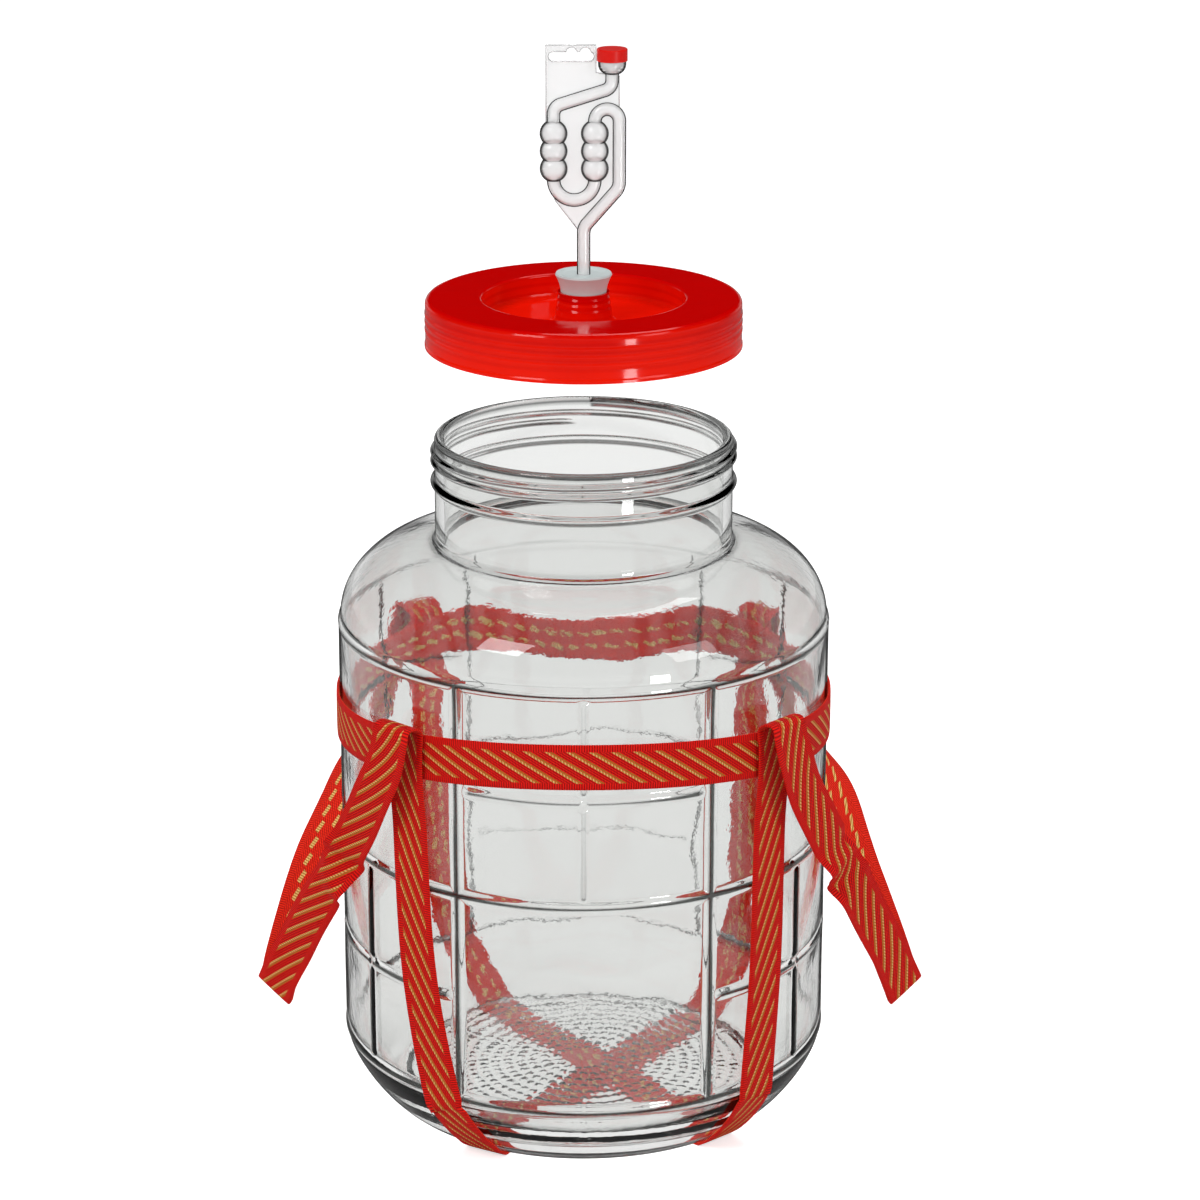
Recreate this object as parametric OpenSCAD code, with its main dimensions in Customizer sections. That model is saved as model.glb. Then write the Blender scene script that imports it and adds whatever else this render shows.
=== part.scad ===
// Fermentation jar with a screw lid, a bubbling airlock and a woven carrying harness.
// Origin: centre of the resting face, under the harness. Z is up and the front faces -Y.
// The lid, bung and airlock are drawn lifted off the neck; lid_lift is the open gap.

/* [Jar] */
// Height of the glass from its base to its rim
jar_h = 378.7; // [360:0.1:420]
// Outside diameter of the body between its ribs
body_d = 266; // [250:0.5:290]
// Outside diameter of the neck
neck_d = 161.2; // [150:0.1:168]
// Diameter of the mouth
mouth_d = 151.2; // [130:0.1:152]
// Thickness of the body wall
glass_wall = 4; // [3:0.1:6]
// Height of the ring where the shoulder starts
shoulder_z = 276.2; // [250:0.1:290]
// Height of the shoulder's dome
shoulder_h = 45; // [38:0.5:55]
// Height of the rounded heel
heel_h = 36; // [24:0.5:38]
// Diameter of the ring that the jar stands on
foot_d = 212; // [190:1:225]
// Width of the foot ring's flat
foot_flat = 5; // [3:0.5:8]
// Rise of the base's middle above the foot
push_up = 7; // [5:0.5:12]
// Thickness of the glass base
base_wall = 6; // [4:0.5:9]

/* [Ribs] */
// Height of the lowest ring of the rib grid
grid_z = 40.5; // [39:0.5:60]
// Width of a rib at the wall
rib_w = 5; // [2.4:0.1:6]
// How far a rib stands proud
rib_proud = 1.2; // [0.6:0.1:1.5]
// Gap between the end of a fine rib and the ring it points at
rib_gap = 5; // [3:0.5:9]

/* [Neck finish] */
// Crest diameter that the lid's thread runs over
crest_d = 165.8; // [164:0.1:172]
// Height of the round bead under the lid
bead_h = 5; // [3:0.1:7]
// Gap between the seated lid's lower edge and the bead
bead_gap = 1; // [0.4:0.1:3]

/* [Lid] */
// Height of the lid's skirt
lid_h = 26; // [20:0.5:30]
// Thickness of the lid's skirt
lid_wall = 1.4; // [1:0.1:2.2]
// Thickness of the lid's top
lid_top = 1.8; // [1.4:0.1:2.8]
// Gap between the thread's crest and the skirt
lid_gap = 0.3; // [0.2:0.05:0.8]
// Diameter of the round recess
recess_d = 108.6; // [90:0.2:124]
// Depth of the recess
recess_depth = 13; // [9:0.5:18]
// Outside diameter of the spout at its mouth
spout_d = 27.4; // [26.4:0.1:32]
// Rise of the spout above the lid's top
spout_rise = 3; // [1:0.1:6]
// How far the lid hangs above the rim when it is off
lid_lift = 50; // [30:1:90]

/* [Seal ring] */
// Thickness of the seal ring
seal_t = 1.6; // [1:0.1:2.5]
// Width of the seal ring
seal_w = 9.4; // [6:0.1:12]

/* [Bung] */
// Diameter of the bung's top
bung_d = 30.2; // [28.4:0.1:36]
// Diameter of the plug in the spout
plug_d = 24.4; // [22:0.1:24.8]
// Height of the bung above the spout
bung_rise = 10; // [7:0.5:15]
// Depth of the plug in the spout
plug_depth = 13; // [9:0.5:15]

/* [Airlock] */
// Outside diameter of the tube
tube_d = 7.2; // [6.4:0.1:7.6]
// Bore of the tube
tube_bore = 5; // [4:0.1:5.4]
// Outside diameter of a bubble chamber
bubble_d = 14.7; // [13:0.1:15.2]
// Height from one bubble chamber to the next
bubble_pitch = 9.4; // [8.6:0.1:10.2]
// Height of the middle chambers above the bung
bubble_z = 65.4; // [62:0.1:68]
// Distance of the left chambers from the stem
left_x = 15.8; // [15.2:0.1:17]
// Distance of the right chambers from the stem
right_x = 5.9; // [5.6:0.1:6.4]
// Distance of the return tube from the stem
return_x = 18.8; // [18.2:0.1:20]
// Height of the cup's mouth above the bung
cup_z = 119; // [117:0.5:123]
// Outside diameter of the cup
cup_d = 14.8; // [13.6:0.1:16]
// Depth of the cup
cup_depth = 13; // [11:0.5:14]
// Thickness of the flat web between the tubes
web_t = 1.2; // [0.8:0.1:2]
// Thickness of the cap's shell
cap_wall = 0.6; // [0.4:0.1:1]
// Height of the cap
cap_h = 6.4; // [5:0.1:8]

/* [Harness] */
// Width of the woven strap
strap_w = 25; // [18:0.5:28]
// Thickness of the woven strap
strap_t = 1.4; // [1:0.1:2]
// Mean height of the belt's middle above the jar's base
belt_z = 231; // [215:0.5:240]
// How far the belt rises at the front and back and sinks at the sides
belt_wave = 6.5; // [0:0.5:9]
// How much lower the belt hangs at the middle of the back, and how far past a joint it starts to
rear_sag = 18; // [0:1:25]
joint_clear = 8;
// Angle of the left joints from the front
joint_left = 43; // [38:0.5:52]
// Angle of the right joints from the front
joint_right = 47; // [38:0.5:52]
// Angle at which the left strap passes under the foot
foot_left = 29.5; // [24:0.5:40]
// Angle at which the right strap passes under the foot
foot_right = 42; // [30:0.5:46]
// Radius of the fold where a strap turns into its handle
fold_r = 3.5; // [3:0.1:5]
// Gap between the strap on the wall and the fold's outer layer
fold_out = 3.5; // [3:0.1:6]
// Drop of a handle's folded end below its joint
handle_drop = 184; // [150:1:200]
// Reach of a handle's folded end outside its joint
handle_out = 74; // [60:1:90]

/* [Hidden] */

$fn = 96;
tiny = 0.01;
skin_gap = 0.2;
slip = 0.1;
stem_fit = 0.05;
// Step at a bend's ends, and the lap of a straight tube into it
bend_step = 0.04;
tube_lap = 0.3;

foot_gap = 0.05;
base_z = strap_t + foot_gap;
rim_z = base_z + jar_h;
body_r = body_d / 2;
neck_r = neck_d / 2;
mouth_r = mouth_d / 2;
foot_r = foot_d / 2;
heel_power = 1.3;
dome_power = 2.18;
lip_r = (neck_r - mouth_r) / 2;
ring_pitch = (shoulder_z - grid_z) / 4;
rib_r = (rib_w * rib_w / 4 + rib_proud * rib_proud) / (2 * rib_proud);
rib_crest = body_r + rib_proud;

seat_drop = lid_h - lid_top - slip - seal_t - slip;
bead_z = jar_h - seat_drop - bead_gap - bead_h / 2;
bead_proud = crest_d / 2 - neck_r;

lid_z = rim_z + lid_lift;
lid_top_z = lid_z + lid_h;
lid_in_r = crest_d / 2 + lid_gap;
lid_out_r = lid_in_r + lid_wall;
spout_r = spout_d / 2;
spout_bore_r = plug_d / 2 + slip;
spout_mouth_z = lid_top_z + spout_rise;
bung_z = spout_mouth_z + bung_rise;
tube_r = tube_d / 2;
stem_end = bung_rise + plug_depth + 6;
cup_r = cup_d / 2;

belt_in = rib_crest + skin_gap;
strap_in = belt_in + strap_t + skin_gap;
fold_centre = strap_in + strap_t + fold_out + fold_r;

function lerp(a, b, t) = a + (b - a) * t;
function unit(v) = v / norm(v);
function ease(t) = t * t * (3 - 2 * t);
function square_to(v, d) = unit(v - (v * d) * d);
// A point at an angle from the front, counted towards the right
function around(angle, r, z) = [r * sin(angle), -r * cos(angle), z];
function sideways(angle) = [cos(angle), sin(angle), 0];
// A quarter of a superellipse from (r0 + a, z0) to (r0, z0 + b)
function quarter(r0, z0, a, b, power, t) =
    [r0 + a * pow(cos(t), 2 / power), z0 + b * pow(sin(t), 2 / power)];
function arc(r0, z0, r, from, to, steps) =
    [for (i = [0:steps]) let (t = lerp(from, to, i / steps)) [r0 + r * cos(t), z0 + r * sin(t)]];

function heel_out(t) = quarter(foot_r, heel_h, body_r - foot_r, -heel_h, heel_power, t);

// Glass

function jar_outside() = concat(
    [[0, push_up], [foot_r * 0.8, push_up * 0.7], [foot_r - foot_flat - 3, 1.2], [foot_r - foot_flat, 0]],
    [for (i = [10:-1:0]) heel_out(9 * i)],
    [for (i = [0:12]) quarter(neck_r - 7, shoulder_z, body_r - neck_r + 7, shoulder_h, dome_power, 6.6 * i)],
    arc(neck_r + 3, shoulder_z + shoulder_h + 2.4, 3, 250, 180, 3));

function jar_inside() = let (inner = body_r - glass_wall, foot_in = foot_r - 6, floor_z = push_up + base_wall)
    concat(
    [for (i = [12:-1:0]) quarter(mouth_r, shoulder_z, inner - mouth_r, shoulder_h - glass_wall, 2.1, 7.5 * i)],
    [for (i = [0:10]) quarter(foot_in, heel_h + 2, inner - foot_in, floor_z - 4 - heel_h - 2, 1.4, 9 * i)],
    [[foot_r * 0.8, floor_z - 2.6], [0, floor_z]]);

module jar_shell() {
    translate([0, 0, base_z])
        rotate_extrude($fn = 180)
            polygon(concat(
                jar_outside(),
                arc(neck_r - lip_r, jar_h - lip_r, lip_r, 0, 180, 10),
                jar_inside()));
}

// One upright rib at an angle, between two heights
module rib_up(angle, z1, z2) {
    c = around(angle, rib_crest - rib_r, 0);
    translate([c[0], c[1], base_z + z1]) cylinder(h = z2 - z1, r = rib_r, $fn = 32);
}

// A rib round the body, over a span of angles about one angle
module rib_round(z, angle = 0, span = 360) {
    translate([0, 0, base_z + z])
        rotate([0, 0, angle - 90 - span / 2])
            rotate_extrude(angle = span, $fn = 180)
                translate([rib_crest - rib_r, 0]) circle(r = rib_r, $fn = 32);
}

// The fine cross that divides a panel in four
module rib_cross(angle, z1, z2) {
    middle = (z1 + z2) / 2;
    bay = 60 / 2 - 2 * asin(rib_gap / body_r);
    for (z = [z1, middle]) rib_up(angle, z + rib_gap, z + ring_pitch - rib_gap);
    for (side = [-1, 1]) rib_round(middle, angle + side * 15, bay);
}

module jar() {
    color([0.86, 0.9, 0.89, 0.35]) {
        jar_shell();
        for (level = [0, 2, 4]) rib_round(grid_z + level * ring_pitch);
        for (angle = [30:60:330]) rib_up(angle, grid_z, shoulder_z);
        for (angle = [0:120:240]) rib_cross(angle, grid_z + 2 * ring_pitch, shoulder_z);
        for (angle = [60:120:300]) rib_cross(angle, grid_z, grid_z + 2 * ring_pitch);
        translate([0, 0, base_z + bead_z])
            rotate_extrude($fn = 180)
                polygon([[neck_r - 1, -bead_h / 2], [neck_r + bead_proud * 0.7, -bead_h * 0.36],
                    [crest_d / 2, -bead_h * 0.1], [crest_d / 2, bead_h * 0.1],
                    [neck_r + bead_proud * 0.7, bead_h * 0.36], [neck_r - 1, bead_h / 2]]);
    }
}

// Lid with its seal

function skirt_ripples() = [for (i = [0:18]) [lid_out_r + 0.35 * (1 - cos(60 * i)) / 2, lid_h * (0.28 + 0.027 * i)]];

module lid() {
    recess_r = recess_d / 2;
    floor_z = lid_h - recess_depth;
    mouth_z = lid_h + spout_rise;
    color([0.85, 0.03, 0.02])
        translate([0, 0, lid_z])
            rotate_extrude($fn = 180)
                polygon(concat(
                    [[lid_in_r, 0], [lid_out_r + 0.4, 0], [lid_out_r + 0.4, 1.6], [lid_out_r, 2.4]],
                    skirt_ripples(),
                    arc(lid_out_r - 3, lid_h - 3, 3, 0, 90, 5),
                    arc(recess_r + 1.5, lid_h - 1.5, 1.5, 90, 170, 4),
                    arc(recess_r - 3.6, floor_z + 3, 3, -10, -90, 4),
                    arc(spout_r + 4.6, floor_z + 3, 3, 270, 190, 4),
                    [for (i = [0:2]) each [
                        [spout_r + 1.2 - 0.4 * i, mouth_z - 9 + 3 * i], [spout_r + 0.6 - 0.4 * i, mouth_z - 7.8 + 3 * i]]],
                    [[spout_r, mouth_z], [spout_bore_r, mouth_z], [spout_bore_r, floor_z - lid_top]],
                    [[recess_r - 1, floor_z - lid_top], [recess_r + lid_top, floor_z + 1.5],
                        [recess_r + lid_top + 1, lid_h - lid_top], [lid_in_r, lid_h - lid_top]]));
}

module seal_ring() {
    color([0.93, 0.93, 0.9])
        translate([0, 0, lid_top_z - lid_top - slip - seal_t])
            difference() {
                cylinder(h = seal_t, r = lid_in_r - 0.5, $fn = 180);
                translate([0, 0, -1]) cylinder(h = seal_t + 2, r = lid_in_r - 0.5 - seal_w, $fn = 180);
            }
}

// Bung

module bung() {
    top_r = bung_d / 2;
    waist_r = plug_d / 2;
    color([0.88, 0.88, 0.87])
        translate([0, 0, bung_z])
            rotate_extrude()
                polygon(concat(
                    [[tube_r + stem_fit, -0.8], [tube_r + stem_fit, -bung_rise - plug_depth],
                        [waist_r - 1.4, -bung_rise - plug_depth], [waist_r - 0.6, -bung_rise - plug_depth + 1],
                        [waist_r, -bung_rise]],
                    [for (i = [1:6]) let (t = i / 6)
                        [lerp(waist_r, top_r, pow(t, 1.6)), lerp(-bung_rise, -1, t)]],
                    [[top_r - 0.4, 0], [top_r - 2.4, 0], [top_r - 5, -0.8]]));
}

// Airlock

// A bent stretch of tube in the XZ plane: centre, bend radius and the angles that it spans
module bend(x, z, turn_r, r, from, to) {
    translate([x, 0, z])
        rotate([90, 0, 0])
            rotate([0, 0, from])
                rotate_extrude(angle = to - from, $fn = 64) translate([turn_r, 0]) circle(r = r + bend_step, $fn = 24);
}

// A straight stretch of tube in the XZ plane, run on a little at both ends into what it joins
module straight(a, b, r) {
    way = unit(b - a);
    start = a - way * tube_lap;
    translate([start[0], 0, start[1]])
        rotate([0, atan2(way[0], way[1]), 0])
            cylinder(h = norm(b - a) + 2 * tube_lap, r = r, $fn = 24);
}

// A tube through corners in the XZ plane, each rounded to one radius
module routed(p, turn_r, r) {
    last = len(p) - 1;
    ways = [for (i = [0:last - 1]) unit(p[i + 1] - p[i])];
    cuts = [for (i = [0:last]) i == 0 || i == last ? 0 : turn_r * tan(acos(ways[i - 1] * ways[i]) / 2)];
    for (i = [0:last - 1]) straight(p[i] + ways[i] * cuts[i], p[i + 1] - ways[i] * cuts[i + 1], r);
    for (i = [1:last - 1]) {
        a = ways[i - 1];
        b = ways[i];
        side = sign(a[0] * b[1] - a[1] * b[0]);
        c = p[i] - a * cuts[i] + side * turn_r * [-a[1], a[0]];
        start = atan2(a[1], a[0]) - side * 90;
        turned = side * acos(a * b);
        bend(c[0], c[1], turn_r, r, min(start, start + turned), max(start, start + turned));
    }
}

column_top = bubble_z + bubble_pitch + 6.4;
column_foot = bubble_z - bubble_pitch - 6;
cup_x = return_x - 3.9;
cup_foot = cup_z - cup_depth;
cap_r = cup_r + slip + cap_wall;

// Everything that the tube's wall or its bore passes through, at one radius each
module tube_way(r, bubble_r) {
    routed([[0, -stem_end], [0, 24.4], [return_x, 45.9], [return_x, column_top]], 8, r);
    bend((return_x + right_x) / 2, column_top, (return_x - right_x) / 2, r, 0, 180);
    bend((right_x - left_x) / 2, column_foot, (right_x + left_x) / 2, r, 180, 360);
    straight([right_x, column_foot], [right_x, column_top], r);
    for (x = [-left_x, right_x], i = [-1:1])
        translate([x, 0, bubble_z + i * bubble_pitch]) sphere(r = bubble_r, $fn = 48);
    routed([[-left_x, column_foot], [-left_x, 89], [cup_x, 98.8], [cup_x, cup_foot + 2]], 5.5, r);
}

// The cup's round-bottomed shape, at one radius
module cup_shape(r, foot, mouth) {
    translate([cup_x, 0, 0])
        rotate_extrude($fn = 64)
            polygon(concat([[0, foot]], arc(r - 5.4, foot + 5.4, 5.4, 270, 360, 6), [[r, mouth], [0, mouth]]));
}

// The flat web with its hanging slot
module web() {
    edge = left_x + tube_r + 0.35;
    inner = cup_x - cap_r - 0.3;
    slot_r = 2.6;
    slot_z = cup_z - 3.6;
    translate([0, web_t / 2, 0])
        rotate([90, 0, 0])
            linear_extrude(web_t)
                difference() {
                    polygon([[-edge, cup_z + 2.4], [inner, cup_z + 2.4], [inner, cup_foot + 1],
                        [cup_x + 3.8, cup_foot - 1], [return_x - 0.2, column_top + 2], [return_x, 46], [2, 25],
                        [-2.4, 22.4], [1 - left_x, 38.6], [-edge, column_foot]]);
                    for (x = [-edge + 1.2 + slot_r, inner - 1 - slot_r])
                        translate([x, slot_z]) circle(r = slot_r, $fn = 24);
                    translate([-edge + 1.2 + slot_r, slot_z - slot_r])
                        square([edge + inner - 2.2 - 2 * slot_r, 2 * slot_r]);
                    for (x = [-6.3, 0.9]) translate([x, slot_z + 1.9]) circle(r = 3, $fn = 24);
                }
}

module airlock() {
    wall = (tube_d - tube_bore) / 2;
    color([0.93, 0.95, 0.95, 0.35])
        translate([0, 0, bung_z])
            difference() {
                union() {
                    tube_way(tube_r, bubble_d / 2);
                    cup_shape(cup_r, cup_foot, cup_z);
                    web();
                }
                translate([0, 0, -stem_end - 1]) cylinder(h = 2, r = tube_bore / 2, $fn = 32);
                tube_way(tube_bore / 2, bubble_d / 2 - wall);
                cup_shape(cup_r - wall, cup_foot + wall, cup_z + 1);
            }
}

module airlock_cap() {
    in_r = cap_r - cap_wall;
    top = slip + cap_wall;
    color([0.85, 0.05, 0.04])
        translate([cup_x, 0, bung_z + cup_z])
            rotate_extrude($fn = 64)
                polygon([[0, slip], [in_r, slip], [in_r, top - cap_h], [cap_r, top - cap_h],
                    [cap_r, top - 0.4], [cap_r - 0.4, top], [0, top]]);
}

// Harness

// A flat band along centre points, with the direction of its width at each
module band(centre, across, closed = false) {
    n = len(centre);
    way = [for (i = [0:n - 1])
        unit(closed ? centre[(i + 1) % n] - centre[(i + n - 1) % n] : centre[min(i + 1, n - 1)] - centre[max(i - 1, 0)])];
    wide = [for (i = [0:n - 1]) square_to(across[i], way[i]) * strap_w / 2];
    thick = [for (i = [0:n - 1]) unit(cross(wide[i], way[i])) * strap_t / 2];
    points = [for (i = [0:n - 1], c = [[-1, -1], [1, -1], [1, 1], [-1, 1]]) centre[i] + wide[i] * c[0] + thick[i] * c[1]];
    // Opposite faces split along the same diagonal, so that a twisted band keeps its thickness
    sides = [for (i = [0:n - (closed ? 1 : 2)], k = [0:3])
        let (m = (k + 1) % 4, a = 4 * i + k, c = 4 * i + m, b = 4 * ((i + 1) % n) + k, d = 4 * ((i + 1) % n) + m)
            each (k < 2 ? [[a, c, d], [a, d, b]] : [[a, c, b], [c, d, b]])];
    e = 4 * (n - 1);
    ends = closed ? [] : [[0, 3, 2], [0, 2, 1], [e, e + 1, e + 2], [e, e + 2, e + 3]];
    polyhedron(points, concat(sides, ends), convexity = 10);
}

// The belt hangs lower behind the rear joints, from joint_clear degrees past them to the middle of the back
function belt_drop(angle) =
    let (past = 180 - min(angle, 360 - angle), reach = 45 - joint_clear)
    rear_sag * ease(min(1, max(0, (reach - past) / reach)));
function belt_height(angle) = base_z + belt_z + belt_wave * cos(2 * angle) - belt_drop(angle);
joint_z = belt_height(45) + strap_w / 2 + 2;

module belt() {
    steps = 72;
    angles = [for (i = [0:steps - 1]) 360 * i / steps];
    color([0.8, 0.08, 0.04])
        band([for (a = angles) around(a, belt_in + strap_t / 2, belt_height(a))], [for (a = angles) [0, 0, 1]], true);
}

// Where a strap runs, from its joint (0) over the heel to the foot (1), as [radius, height, share of the way]
function strap_way() =
    let (drop = joint_z - base_z - heel_h, curve = 46, total = drop + curve, half = strap_t / 2)
    concat(
        [for (i = [0:8]) let (z = joint_z - drop * i / 8, near = ease(min(1, max(0, (z - belt_z + 34) / 16))))
            [lerp(belt_in, strap_in, near) + half, z, (joint_z - z) / total]],
        [for (i = [1:8]) let (t = 90 * i / 8, q = heel_out(t), out = lerp(belt_in - body_r, skin_gap, sin(t)) + half)
            [q[0] + (out + heel_slack * sin(2 * t)) * cos(t),
                base_z + q[1] - (out + heel_slack * sin(2 * t)) * sin(t) + (skin_gap - foot_gap) * sin(t),
                (drop + curve * i / 8) / total]]);

// A strap stands this much off the heel's curve
heel_slack = 0.4;
// A strap keeps its foot angle from this share of its way on, so that it lies flat under the foot
settled = 0.93;
function strap_angle(joint, foot, u) = lerp(joint, foot, pow(min(1, u / settled), 3));

module cradle(front_joint, front_foot, rear_joint, rear_foot, hump) {
    way = strap_way();
    n = len(way);
    a = around(front_foot, foot_r - foot_flat - 4, strap_t / 2);
    b = around(rear_foot, foot_r - foot_flat - 4, strap_t / 2);
    under = [for (i = [0:8]) lerp(a, b, i / 8) + [0, 0, hump * ease(min(1, max(0, (3 - abs(i - 4)) / 2)))]];
    level = square_to(cross(b - a, [0, 0, 1]), unit(b - a));
    front = [for (w = way) strap_angle(front_joint, front_foot, w[2])];
    rear = [for (i = [n - 1:-1:0]) strap_angle(rear_joint, rear_foot, way[i][2])];
    band(
        concat([for (i = [0:n - 1]) around(front[i], way[i][0], way[i][1])], under,
            [for (i = [0:n - 1]) around(rear[i], way[n - 1 - i][0], way[n - 1 - i][1])]),
        concat([for (f = front) sideways(f)], [for (u = under) level], [for (r = rear) -sideways(r)]));
}

module cradle_strap_a() {
    color([0.82, 0.09, 0.04]) cradle(-joint_left, -foot_left, 180 - joint_right, 180 - foot_right, 0);
}

module cradle_strap_b() {
    color([0.78, 0.08, 0.04])
        cradle(joint_right, foot_right, 180 + joint_left, 180 + foot_left, strap_t + skin_gap);
}

function bezier(p, t) =
    len(p) == 1 ? p[0] : bezier([for (i = [0:len(p) - 2]) lerp(p[i], p[i + 1], t)], t);

// A handle: over the fold at the front joint, down to its folded end, and up to the rear joint
module handle(side, joint) {
    pivot_z = joint_z + 1;
    fold = [for (i = [0:3]) let (t = 90 + 30 * i) [fold_centre - fold_r * cos(t), pivot_z + fold_r * sin(t)]];
    out = side * fold_centre * sin(joint);
    end = [out + side * handle_out, -20, pivot_z - handle_drop];
    front_top = around(side * joint, fold[3][0], fold[3][1]);
    rear_top = around(side * (180 - joint), fold[3][0], fold[3][1]);
    front_wide = -side * sideways(side * joint);
    rear_wide = -side * sideways(side * (180 - joint));
    end_way = unit([side * 0.34, 0.3, -0.89]);
    end_wide = square_to([side * -0.77, -0.6, -0.2], end_way);
    face = side * cross(end_wide, end_way);
    turn_r = 1;
    near = end + face * turn_r;
    far = end - face * turn_r;
    front_way = [front_top, front_top + [side * 6, 2, -45], near - end_way * 75, near];
    rear_way = [far, far - end_way * 60 + [side * 4, 0, 0], rear_top + [side * 30, -30, -70], rear_top];
    steps = 12;
    legs = concat(
        [for (f = fold) around(side * joint, f[0], f[1])],
        [for (i = [1:steps]) bezier(front_way, i / steps)],
        [for (t = [45, 90, 135]) end + (face * cos(t) + end_way * sin(t)) * turn_r],
        [for (i = [0:steps - 1]) bezier(rear_way, i / steps)],
        [for (i = [3:-1:0]) around(side * (180 - joint), fold[i][0], fold[i][1])]);
    wide = concat(
        [for (f = fold) front_wide],
        [for (i = [1:steps]) lerp(front_wide, end_wide, ease(i / steps))],
        [for (t = [45, 90, 135]) end_wide],
        [for (i = [0:steps - 1]) let (q = bezier(rear_way, i / steps))
            lerp(end_wide, -side * sideways(atan2(q[0], -q[1])), ease(min(1, i / steps / 0.65)))],
        [for (f = fold) rear_wide]);
    band(legs, wide);
}

module handle_left() {
    color([0.84, 0.1, 0.04]) handle(-1, joint_left);
}

module handle_right() {
    color([0.84, 0.1, 0.04]) handle(1, joint_right);
}

jar();
belt();
cradle_strap_a();
cradle_strap_b();
handle_left();
handle_right();
seal_ring();
lid();
bung();
airlock();
airlock_cap();
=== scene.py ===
import math

import bmesh
import bpy
import numpy as np
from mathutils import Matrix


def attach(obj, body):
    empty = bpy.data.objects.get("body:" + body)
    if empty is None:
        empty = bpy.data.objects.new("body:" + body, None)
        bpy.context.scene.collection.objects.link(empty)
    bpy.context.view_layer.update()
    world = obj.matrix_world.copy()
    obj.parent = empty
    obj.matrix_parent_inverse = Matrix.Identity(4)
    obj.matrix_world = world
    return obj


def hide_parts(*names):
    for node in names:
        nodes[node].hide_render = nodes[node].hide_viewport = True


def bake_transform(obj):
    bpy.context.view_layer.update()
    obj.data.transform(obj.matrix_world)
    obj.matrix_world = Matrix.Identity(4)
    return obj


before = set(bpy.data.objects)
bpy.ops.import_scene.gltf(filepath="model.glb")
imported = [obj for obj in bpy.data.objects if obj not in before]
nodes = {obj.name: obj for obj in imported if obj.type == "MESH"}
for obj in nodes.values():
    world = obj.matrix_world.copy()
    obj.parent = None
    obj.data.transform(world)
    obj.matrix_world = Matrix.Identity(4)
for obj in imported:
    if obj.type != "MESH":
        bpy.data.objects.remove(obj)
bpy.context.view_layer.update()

MM = 0.001
BASE_Z = 1.45
JAR_H = 378.7
BODY_R = 133.0
NECK_R = 80.6
MOUTH_R = 75.6
FOOT_R = 106.0
HEEL_H = 36.0
SHOULDER_Z = 276.2
GRID_Z = 40.5
RING_PITCH = (SHOULDER_Z - GRID_Z) / 4
GLASS_WALL = 4.0
STRAP_W = 25.0
STRAP_T = 1.4
STRIPE_PITCH = 6.0
PROUD = 1.2
BELT_IN = 134.4
STRAP_IN = 136.0
REAR_SAG = 18.0


# Small helpers

def lerp(a, b, t):
    return a + (b - a) * t


def ease(t):
    t = np.clip(t, 0.0, 1.0)
    return t * t * (3 - 2 * t)


def unit(v):
    v = np.asarray(v, float)
    length = np.linalg.norm(v, axis=-1, keepdims=True)
    return v / np.maximum(length, 1e-12)


def around(angle, r, z):
    a = math.radians(angle)
    return np.array([r * math.sin(a), -r * math.cos(a), z])


def sideways(angle):
    a = math.radians(angle)
    return np.array([math.cos(a), math.sin(a), 0.0])


def link(name, mesh):
    obj = bpy.data.objects.new(name, mesh)
    bpy.context.scene.collection.objects.link(obj)
    return obj


def mesh_from(name, points, quads, tris=(), smooth=True):
    """A mesh object from points in millimetres and arrays of quads and triangles."""
    quads = np.asarray(quads, np.int32).reshape(-1, 4)
    tris = np.asarray(tris, np.int32).reshape(-1, 3)
    mesh = bpy.data.meshes.new(name)
    mesh.vertices.add(len(points))
    mesh.vertices.foreach_set("co", (np.asarray(points, float) * MM).astype(np.float32).ravel())
    total = quads.size + tris.size
    mesh.loops.add(total)
    mesh.loops.foreach_set("vertex_index", np.concatenate([quads.ravel(), tris.ravel()]))
    mesh.polygons.add(len(quads) + len(tris))
    starts = np.concatenate([np.arange(len(quads)) * 4, quads.size + np.arange(len(tris)) * 3])
    mesh.polygons.foreach_set("loop_start", starts.astype(np.int32))
    mesh.polygons.foreach_set("use_smooth", np.full(len(quads) + len(tris), smooth))
    mesh.update(calc_edges=True)
    mesh.validate()
    return link(name, mesh)


def point_values(obj, name, values):
    layer = obj.data.attributes.new(name, "FLOAT", "POINT")
    layer.data.foreach_set("value", np.asarray(values, np.float32).ravel())


def revolve_quads(rows, cols, first=0):
    """Quads of a grid of rows that closes round its columns."""
    r = np.arange(rows - 1)[:, None]
    c = np.arange(cols)[None, :]
    n = (c + 1) % cols
    a, b = r * cols + c, r * cols + n
    return (np.stack([a, b, b + cols, a + cols], -1) + first).reshape(-1, 4)


# Materials

def new_material(name):
    material = bpy.data.materials.new(name)
    material.use_nodes = True
    tree = material.node_tree
    tree.nodes.clear()
    return material, tree.nodes, tree.links


def node(nodes_, kind, **values):
    made = nodes_.new("ShaderNode" + kind)
    for key, value in values.items():
        setattr(made, key, value)
    return made


def maths(nodes_, links_, operation, a, b=None, c=None, clamp=False):
    made = nodes_.new("ShaderNodeMath")
    made.operation = operation
    made.use_clamp = clamp
    for slot, value in enumerate((a, b, c)):
        if value is None:
            continue
        if isinstance(value, (int, float)):
            made.inputs[slot].default_value = value
        else:
            links_.new(value, made.inputs[slot])
    return made.outputs[0]


def blend_colour(nodes_, links_, factor, a, b):
    made = nodes_.new("ShaderNodeMix")
    made.data_type = "RGBA"
    for slot, value in ((0, factor), (6, a), (7, b)):
        if isinstance(value, (tuple, float, int)):
            made.inputs[slot].default_value = value
        else:
            links_.new(value, made.inputs[slot])
    return made.outputs[2]


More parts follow.
